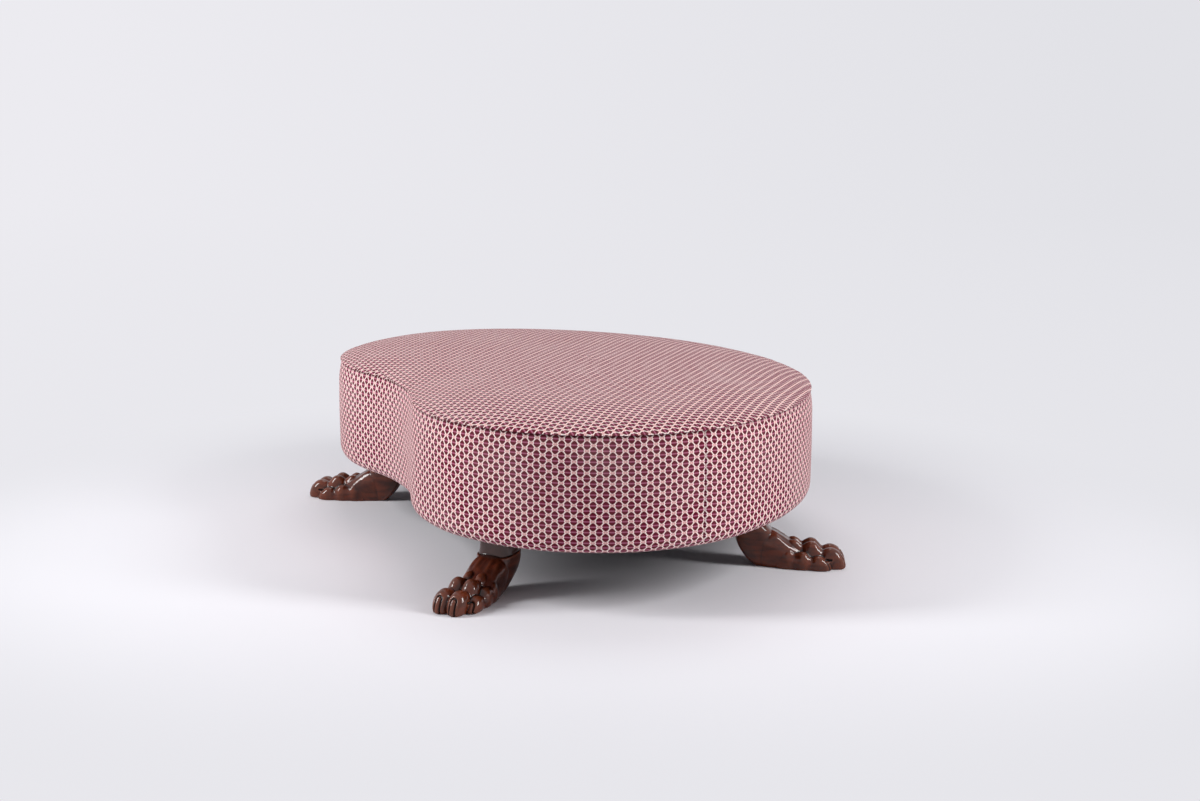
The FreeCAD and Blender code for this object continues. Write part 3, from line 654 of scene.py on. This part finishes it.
# Carved paws. Sizes are in millimetres, but the legs' distances in from the outline in metres.
# Ahead is measured from the heel's contact with the floor.
paw = {
    "legCentre": -5.0,
    "legTop": {"front": 87.5, "back": 112.0},
    "legTilt": {"front": 0.09, "back": 0.0},
    "neckIn": 3.6,
    # height in millimetres over which the neck's painted shade comes in above the ledge
    "neckShadeRamp": 1.5,
    "neckTop": 135.3,
    "neckHalf": (39, 41),
    # the sections' squareness, as powers of a superellipse
    "legPower": 3.3,
    "instepPower": 3.2,
    "toePower": 2.15,
    "voxel": 1.2,
    "frontTurn": math.radians(66.8),
    "frontInset": 0.1156,
    "frontSplay": math.radians(53.0),
    "backTurn": math.radians(45.0),
    "backInset": 0.1057,
    "backSplay": math.radians(61.5),
    # the heel and leg: height, rear, front, half width
    "heel": [(0, 1, 58, 19), (1.5, -1.5, 60, 22), (9, -10, 60, 25), (18.5, -19, 58, 28),
             (34, -30, 55, 33), (45, -36, 52, 36.5), (59, -41.5, 47, 39), (72, -43, 41, 40.5),
             (80, -43, 38.5, 41), (87.5, -43, 37, 41.5)],
    # the back legs' tops, which lean back above the ledge's height
    "backRise": [(80, -43, 38.5, 41), (87.5, -43, 33, 41.5), (100, -42, 20, 41.5),
                 (112, -41, 9, 41)],
    # the instep and the toes: ahead, half width, top
    "instep": [(8, 30, 60), (18, 39, 82.5), (33, 41, 83.5), (46.5, 41, 78), (58, 40.5, 70.5),
               (70, 40, 63.5), (84, 38.5, 56), (100, 36, 47.5), (116, 33, 39), (134, 31, 31),
               (150, 28, 25), (164, 22, 18), (172, 16, 12)],
    # share of the instep's width at the floor, near the heel
    "heelTaper": 0.55,
    "centreToe": [(60, 6, 44), (70, 11, 55), (80, 14, 60), (89, 15, 61.5), (98, 14, 57),
                  (106, 13, 51), (113, 16, 55), (124, 18.5, 59.5), (135, 18.5, 57),
                  (144, 16.5, 48.5), (151, 15, 41.5), (158, 17.5, 44), (168, 19.5, 46.5),
                  (178, 20, 44.5), (187, 18.5, 39), (194, 15.5, 30), (199, 11.5, 20),
                  (202, 6, 10)],
    "sideToe": [(52, 6, 32), (62, 9, 40), (72, 12.5, 43.5), (80, 13, 42.5), (88, 12, 36.5),
                (96, 13.5, 37), (105, 16, 39.5), (114, 16, 38), (122, 13, 31), (128, 12, 27.5),
                (136, 14.5, 31), (146, 15.5, 31.5), (154, 14.5, 27.5), (161, 12.5, 22),
                (166.5, 9, 14), (170, 5, 7)],
    # table, side offset, fan in degrees, top of the claw
    "toes": [("centreToe", 14.0, 1.6, 36.0), ("centreToe", -14.0, -1.6, 36.0),
             ("sideToe", 30.0, 5.0, 24.0), ("sideToe", -30.0, -5.0, 24.0)],
    "clawHalf": 6.6,
    "clawLength": 34,
    "clawFade": 5,
    "nailHalf": 4.4,
    "grooveWidth": 1.5,
    "grooveDepth": 4.6,
    "clawRise": 1.0,
    "clawReach": 9.6,
    "tendonHalf": 5.5,
    "tendonRise": 1.8,
    # where the tendons begin, ahead of the heel, and end, past the toe's root; and their fades
    "tendonStart": (34, 22),
    "tendonEnd": (26, 20),
    "hollowRange": 0.12,
}


def smoothTable(rows, count):
    # Smooth curve through the rows by Catmull-Rom, evenly spread
    table = np.array(rows, float)
    padded = np.concatenate([2 * table[:1] - table[1:2], table, 2 * table[-1:] - table[-2:-1]])
    k = np.linspace(0, len(table) - 1 - 1e-9, count)
    i = k.astype(int)
    f = (k - i)[:, None]
    a, b, c, d = padded[i], padded[i + 1], padded[i + 2], padded[i + 3]
    bend, twist = 2 * a - 5 * b + 4 * c - d, 3 * b - a - 3 * c + d
    return 0.5 * (2 * b + (c - a) * f + bend * f ** 2 + twist * f ** 3)


def superRound(power, turn):
    # Point on a superellipse: cosine and sine raised to two over the power
    c, s = np.cos(turn), np.sin(turn)
    return np.sign(c) * np.abs(c) ** (2 / power), np.sign(s) * np.abs(s) ** (2 / power)


def closedTube(rings):
    # Rings of points joined in order, with a fan at each end
    rows, columns = rings.shape[:2]
    around = np.arange(columns)
    faces = [gridFaces(rows, columns, wrapColumns=True)[:, ::-1],
             fanFaces(around, rows * columns)[:, ::-1],
             fanFaces(around + (rows - 1) * columns, rows * columns + 1)]
    ends = np.stack([rings[0].mean(0), rings[-1].mean(0)])
    return np.concatenate([rings.reshape(-1, 3), ends]), faces


def carvedBlank(kind):
    # The paw's masses in its own frame: heel and leg, neck, instep and four toes
    parts = []
    legTop, legTilt = paw["legTop"][kind], paw["legTilt"][kind]
    heel = paw["heel"] if kind == "front" else paw["heel"][:-2] + paw["backRise"]
    turn = np.arange(56) * 2 * math.pi / 56
    table = smoothTable(heel, 60)
    c, s = superRound(paw["legPower"], turn)
    middle, half = (table[:, 1] + table[:, 2]) / 2, (table[:, 2] - table[:, 1]) / 2
    ahead = middle[:, None] + half[:, None] * c
    # The leg's top edge lies lower in front than behind
    drop = np.clip((table[:, :1] - 60) / 27.5, 0, 1) * legTilt * (ahead + 43)
    parts.append(closedTube(np.stack([ahead, table[:, 3:4] * s, table[:, :1] - drop], -1)))
    # Neck: a cove from the leg's ledge to the body, hollow by a sine of the height
    rise = np.linspace(0, 1, 16)
    pinch = 0.4 + paw["neckIn"] * np.sin(rise * math.pi) ** 0.8
    z = legTop - 12 + (paw["neckTop"] - legTop + 12) * rise
    deep, broad = [(size - pinch)[:, None] for size in paw["neckHalf"]]
    parts.append(closedTube(np.stack([paw["legCentre"] + deep * c, broad * s,
                                      np.repeat(z[:, None], 56, 1)], -1)))
    table = smoothTable(paw["instep"], 90)
    # Square like the leg behind, rounder towards the toes
    c, s = superRound(paw["instepPower"] - 0.9 * np.clip((table[:, :1] - 50) / 50, 0, 1), turn)
    low = np.maximum(table[:, 2:3] * (0.40 + 0.60 * s), 0)
    base = paw["heelTaper"] + (1 - paw["heelTaper"]) * np.clip((table[:, :1] - 8) / 62, 0, 1)
    narrow = base + (1 - base) * np.clip(low / 55, 0, 1)
    ahead = np.repeat(table[:, :1], 56, 1)
    parts.append(closedTube(np.stack([ahead, -table[:, 1:2] * c * narrow, low], -1)))
    for toe, offset, fan, _ in paw["toes"]:
        table = smoothTable(paw[toe], 110)
        c, s = superRound(paw["toePower"], turn)
        # The tip closes round a point above the floor
        closing = np.clip((table[:, :1] - table[-1, 0] + 9) / 9, 0, 1) ** 3
        floorLine = closing * table[-1, 2] * 0.45
        z = floorLine + (table[:, 2:3] - floorLine) * (0.42 + 0.58 * s)
        z = np.maximum(z, floorLine * 0.9)
        away, side = table[:, :1] - table[0, 0] + 0 * c, -table[:, 1:2] * c
        angle = math.radians(fan)
        t = table[0, 0] + away * math.cos(angle) - side * math.sin(angle)
        aside = offset + away * math.sin(angle) + side * math.cos(angle)
        parts.append(closedTube(np.stack([t, aside, z], -1)))
    points, faces, shift = [], [], 0
    for pts, groups in parts:
        points.append(pts)
        for group in groups:
            faces += (group + shift).tolist()
        shift += len(pts)
    return np.concatenate(points), faces


def carvePaw(kind):
    # The masses become one skin, softened where they meet, and then the fine cuts are made
    points, faces = carvedBlank(kind)
    blank = makePiece("pawBlank", points / 1000, faces)
    skin = blank.modifiers.new("oneSkin", "REMESH")
    skin.mode = "VOXEL"
    skin.voxel_size = paw["voxel"] / 1000
    soften = blank.modifiers.new("soften", "SMOOTH")
    soften.factor = 0.5
    soften.iterations = 6
    graph = bpy.context.evaluated_depsgraph_get()
    mesh = bpy.data.meshes.new_from_object(blank.evaluated_get(graph))
    count = len(mesh.vertices)
    co, normal = np.zeros(count * 3), np.zeros(count * 3)
    mesh.vertices.foreach_get("co", co)
    mesh.vertices.foreach_get("normal", normal)
    co, normal = co.reshape(-1, 3) * 1000, normal.reshape(-1, 3)
    quads = np.zeros(len(mesh.loops), dtype=np.int32)
    mesh.loops.foreach_get("vertex_index", quads)
    edges = np.zeros(len(mesh.edges) * 2, dtype=np.int32)
    mesh.edges.foreach_get("vertices", edges)
    edges = edges.reshape(-1, 2)
    bpy.data.objects.remove(blank)
    bpy.data.meshes.remove(mesh)
    push, cut = np.zeros(count), np.zeros(count)
    (rootStart, rootFade), (tipEnd, tipFade) = paw["tendonStart"], paw["tendonEnd"]
    for toe, offset, fan, clawTop in paw["toes"]:
        angle = math.radians(fan)
        start, tip = paw[toe][0][0], paw[toe][-1][0]
        dt, ds = co[:, 0] - start, co[:, 1] - offset
        t = start + dt * math.cos(angle) + ds * math.sin(angle)
        s = -dt * math.sin(angle) + ds * math.cos(angle)
        # Inverted U round the claw, on the front of the toe
        front = np.clip((t - tip + paw["clawLength"]) / paw["clawFade"], 0, 1)
        front = front * (np.abs(s) < paw["clawReach"]) * (t < tip + 2)
        radial = np.hypot(s, np.maximum(co[:, 2] - clawTop + paw["clawHalf"], 0))
        groove = front * np.exp(-((radial - paw["clawHalf"]) / paw["grooveWidth"]) ** 2)
        nail = front * np.exp(-(radial / paw["nailHalf"]) ** 4)
        push += paw["clawRise"] * nail - paw["grooveDepth"] * groove
        # The cuts' mask, which the finish darkens as painted shade
        cut = np.maximum(cut, groove)
        # Tendon that runs back over the instep from each toe
        ends = np.clip((co[:, 0] - rootStart) / rootFade, 0, 1)
        ends = ends * np.clip((start + tipEnd - co[:, 0]) / tipFade, 0, 1)
        ridge = np.exp(-(s / paw["tendonHalf"]) ** 2) * ends
        push += paw["tendonRise"] * ridge * (normal[:, 2] > 0.2)
    co = co + normal * push[:, None]
    co[:, 2] = np.maximum(co[:, 2], 0)
    # Hollowness: how far the neighbours' mean lies out along the normal, evened out over the skin
    total, number = np.zeros((count, 3)), np.bincount(edges.ravel(), minlength=count)
    np.add.at(total, edges[:, 0], co[edges[:, 1]])
    np.add.at(total, edges[:, 1], co[edges[:, 0]])
    hollow = np.sum((total / number[:, None] - co) * normal, 1)
    for _ in range(10):
        spread = np.zeros(count)
        np.add.at(spread, edges[:, 0], hollow[edges[:, 1]])
        np.add.at(spread, edges[:, 1], hollow[edges[:, 0]])
        hollow = 0.5 * hollow + 0.5 * spread / number
    # The neck's painted shade begins at the leg's ledge
    ledge = paw["legTop"][kind] - paw["legTilt"][kind] * (co[:, 0] + 43)
    neck = np.clip((co[:, 2] - ledge) / paw["neckShadeRamp"], 0, 1)
    # The hollowness drives the painted shade in the creases and the lighter colour of the ridges
    hollow = np.clip(0.5 + hollow / paw["hollowRange"], 0, 1)
    return co, quads.reshape(-1, 4), cut, hollow, neck


def makeMahogany():
    # Carved mahogany under a dark stain and French polish: the polish gives sharp highlights. The
    # cuts and creases are darkened as painted shade, the raised parts are lighter and redder,
    # partly wear and partly a painted highlight, and the neck under the body is painted in shade
    material, tree, shader = newMaterial("polishedMahogany")
    local = addNode(tree, "Attribute", output=1, attribute_name="grainPlace")
    cut = addNode(tree, "Attribute", output=2, attribute_name="carvedCut")
    hollow = addNode(tree, "Attribute", output=2, attribute_name="hollow")
    neck = addNode(tree, "Attribute", output=2, attribute_name="neck")
    grain = addNode(tree, "Mapping", {"Vector": local, "Scale": (14.0, 90.0, 90.0)})
    streaks = addNode(tree, "TexNoise",
                      {"Vector": grain, "Scale": 1.0, "Detail": 4.0, "Distortion": 0.6})
    cloud = addNode(tree, "TexNoise", {"Vector": local, "Scale": 22.0, "Detail": 2.0})
    fine = addNode(tree, "Mapping", {"Vector": local, "Scale": (120.0, 900.0, 900.0)})
    pores = addNode(tree, "TexNoise", {"Vector": fine, "Scale": 1.0})
    figure = addNode(tree, "Mix", {0: 0.4, 2: streaks, 3: cloud})
    figure = addNode(tree, "MapRange", [figure, 0.35, 0.66, 0.0, 1.0], **softStep)
    tone = addNode(tree, "Mix", {0: figure, 6: hexColour("#3A170D"), 7: hexColour("#642A15")},
                   **colourMix)
    # Raised parts are lighter and redder: partly wear, partly a painted highlight
    wearAndHighlight = addNode(tree, "MapRange", [hollow, 0.46, 0.20, 0.0, 0.45])
    tone = addNode(tree, "Mix", {0: wearAndHighlight, 6: tone, 7: hexColour("#7C4026")}, **colourMix)
    # Painted shade: the neck under the body is coloured a darker, greyer brown in place of its
    # shadow
    tone = addNode(tree, "Mix", {0: neck, 6: tone, 7: hexColour("#452A24")}, **colourMix)
    # Painted shade: the creases, found from the skin's hollowness, and the claws' cuts are darkened
    # towards near-black in place of their shadow; the pores darken too, as grain
    creaseShade = addNode(tree, "MapRange", [hollow, 0.56, 0.95, 0.0, 0.9])
    dark = addNode(tree, "Math", [creaseShade, cut], operation="MAXIMUM")
    poreShare = addNode(tree, "MapRange", [pores, 0.62, 0.74, 0.0, 0.45])
    dark = addNode(tree, "Math", [dark, poreShare], operation="MAXIMUM")
    tone = addNode(tree, "Mix", {0: dark, 6: tone, 7: hexColour("#140806")}, **colourMix)
    tree.links.new(tone, shader.inputs["Base Color"])
    bump = addNode(tree, "Bump", {"Strength": 0.12, "Distance": 0.0004, "Height": streaks})
    tree.links.new(bump, shader.inputs["Normal"])
    shader.inputs["Roughness"].default_value = 0.36
    shader.inputs["IOR"].default_value = 1.5
    shader.inputs["Specular IOR Level"].default_value = 0.08
    shader.inputs["Coat Weight"].default_value = 0.75
    shader.inputs["Coat Roughness"].default_value = 0.06
    shader.inputs["Coat IOR"].default_value = 1.48
    return material


mahogany = makeMahogany()
carved = {kind: carvePaw(kind) for kind in ("front", "back")}
print("paws carved:", [len(skin[0]) for skin in carved.values()], "points")
frontReach = outline["lobeRadius"] - paw["frontInset"]
backReach = backRadius - paw["backInset"]
# The arc's centre, the leg's distance from it and angle about it, and the way the toes point
legPlaces = {
    "front_right": (lobeX, endY, frontReach, -paw["frontTurn"], -paw["frontSplay"]),
    "front_left": (-lobeX, endY, frontReach, paw["frontTurn"] - math.pi,
                   paw["frontSplay"] - math.pi),
    "back_left": (0, backY - backRadius, backReach, math.pi - paw["backTurn"],
                  math.pi - paw["backSplay"]),
    "back_right": (0, backY - backRadius, backReach, paw["backTurn"], paw["backSplay"]),
}
for name, (cx, cy, reach, angle, splay) in legPlaces.items():
    legX = cx + reach * math.cos(angle)
    legY = cy + reach * math.sin(angle) + middleY
    side = name.split("_")
    pawPoints, pawFaces, pawCut, pawHollow, pawNeck = carved[side[0]]
    local = pawPoints / 1000
    t, s = local[:, 0] - paw["legCentre"] / 1000, local[:, 1]
    placed = np.stack([legX + t * math.cos(splay) - s * math.sin(splay),
                       legY + t * math.sin(splay) + s * math.cos(splay), local[:, 2]], 1)
    piece = makePiece("paw" + side[0].capitalize() + side[1].capitalize(), placed,
                      pawFaces.tolist())
    for label, values in (("grainPlace", local), ("carvedCut", pawCut), ("hollow", pawHollow),
                          ("neck", pawNeck)):
        setAttribute(piece, label, values)
    piece.data.materials.append(mahogany)
    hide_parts("paw_leg_" + name)
    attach(piece, "root")
print("paws placed")


def plainCloth(name, first, second, scale, rough):
    # Plain woven cloth: small square threads, matt
    material, tree, shader = newMaterial(name)
    place = addNode(tree, "TexCoord", output=3)
    noise = addNode(tree, "TexNoise", {"Vector": place, "Scale": scale, "Detail": 3.0})
    threads = addNode(tree, "TexWave", {"Vector": place, "Scale": scale * 0.6, "Distortion": 0.8},
                      output=1)
    mixed = addNode(tree, "Mix", {0: 0.4, 2: noise, 3: threads})
    tone = addNode(tree, "Mix", {0: mixed, 6: hexColour(first), 7: hexColour(second)}, **colourMix)
    tree.links.new(tone, shader.inputs["Base Color"])
    bump = addNode(tree, "Bump", {"Strength": 0.3, "Distance": 0.0005, "Height": mixed})
    tree.links.new(bump, shader.inputs["Normal"])
    shader.inputs["Roughness"].default_value = rough
    return material


# Underside cloth: black lining stretched over the frame, sagging a little in the middle
underCloth = {
    "inset": 0.062,
    "sag": 0.005,
    "sagStart": 0.015,
    "sagRun": 0.12,
    "thickness": 0.0006,
    "gap": 0.0003,
}


def makeUnderCloth():
    count = 360
    s = np.arange(count) * roundLength / count
    insets = np.concatenate([[underCloth["inset"]],
                             underCloth["inset"] + np.geomspace(0.006, 0.31, 16)])
    ringS, ringInset = np.meshgrid(s, insets)
    x, y = outlinePoint(ringS, ringInset)
    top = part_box("dust_cover")[1].z - underCloth["gap"]
    # The fall grows with the distance in from the tacks and levels off
    inward = np.maximum(ringInset - underCloth["inset"] - underCloth["sagStart"], 0)
    fall = underCloth["sag"] * (1 - np.exp(-inward / underCloth["sagRun"]))
    points = np.stack([x, y, top - fall], -1)
    last = points[-1]
    centre = np.array([0, middleY + 0.02, last[:, 2].mean()])
    shares = np.linspace(1, 0, 10)[1:-1]
    rings = np.concatenate([points, centre + (last - centre) * shares[:, None, None]])
    rows = len(rings)
    faces = gridFaces(rows, count, wrapColumns=True).tolist()
    faces += fanFaces(np.arange(count) + (rows - 1) * count, rows * count)[:, ::-1].tolist()
    piece = makePiece("undersideCloth", np.concatenate([rings.reshape(-1, 3), centre[None]]), faces)
    wall = piece.modifiers.new("wall", "SOLIDIFY")
    wall.thickness = underCloth["thickness"]
    wall.offset = -1.0
    piece.data.materials.append(plainCloth("blackLining", "#0E0E10", "#1E1E21", 900.0, 0.9))
    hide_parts("dust_cover")
    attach(piece, "root")


makeUnderCloth()
print("underside cloth made")


def woodMaterial(name, light, dark, ringScale):
    # Sawn timber or plywood: straight grain along X, matt and unpolished
    material, tree, shader = newMaterial(name)
    place = addNode(tree, "TexCoord", output=3)
    grain = addNode(tree, "Mapping", {"Vector": place, "Scale": (1.0, ringScale, ringScale)})
    noise = addNode(tree, "TexNoise",
                    {"Vector": grain, "Scale": 6.0, "Detail": 5.0, "Distortion": 0.8})
    share = addNode(tree, "MapRange", [noise, 0.3, 0.7, 0.0, 1.0], **softStep)
    tone = addNode(tree, "Mix", {0: share, 6: hexColour(dark), 7: hexColour(light)}, **colourMix)
    tree.links.new(tone, shader.inputs["Base Color"])
    bump = addNode(tree, "Bump", {"Strength": 0.2, "Distance": 0.0005, "Height": noise})
    tree.links.new(bump, shader.inputs["Normal"])
    shader.inputs["Roughness"].default_value = 0.7
    return material


def steelMaterial(name, light, dark, rough):
    # Plated or blued steel fixings: drawn wire with faint scratches
    material, tree, shader = newMaterial(name)
    place = addNode(tree, "TexCoord", output=3)
    noise = addNode(tree, "TexNoise", {"Vector": place, "Scale": 700.0, "Detail": 3.0})
    tone = addNode(tree, "Mix", {0: noise, 6: hexColour(dark), 7: hexColour(light)}, **colourMix)
    tree.links.new(tone, shader.inputs["Base Color"])
    scratch = addNode(tree, "MapRange", [noise, 0.2, 0.8, rough - 0.08, rough + 0.08])
    tree.links.new(scratch, shader.inputs["Roughness"])
    shader.inputs["Metallic"].default_value = 1.0
    return material


# Finishes of the frame's own nodes, by a word in the node's name
hiddenFinishes = {
    "webbing": plainCloth("juteWebbing", "#4A3F36", "#6B5D4F", 500.0, 0.95),
    "deck_cloth": plainCloth("hessian", "#8F7650", "#B59A70", 400.0, 0.95),
    "foam": plainCloth("seatFoam", "#E3D3A0", "#D6C48C", 260.0, 0.95),
    "wadding": plainCloth("polyesterWadding", "#EFEDE8", "#DAD7D0", 160.0, 0.95),
    "tacks": steelMaterial("bluedSteel", "#2B2D36", "#15161B", 0.38),
}
birchPly = woodMaterial("birchPly", "#D1AE80", "#B48C5C", 9.0)
beech = woodMaterial("beechFrame", "#C79F70", "#A97F52", 14.0)
zincSteel = steelMaterial("zincPlatedSteel", "#C9CBD0", "#A6A9AF", 0.32)
hiddenFinishes.update({"skin": birchPly, "ring": birchPly, "post": beech, "rail": beech,
                       "block": beech})
for name, node in nodes.items():
    finishes = [finish for word, finish in hiddenFinishes.items() if word in name]
    node.data.materials.clear()
    node.data.materials.append(finishes[0] if finishes else zincSteel)
print("carried-over nodes dressed")
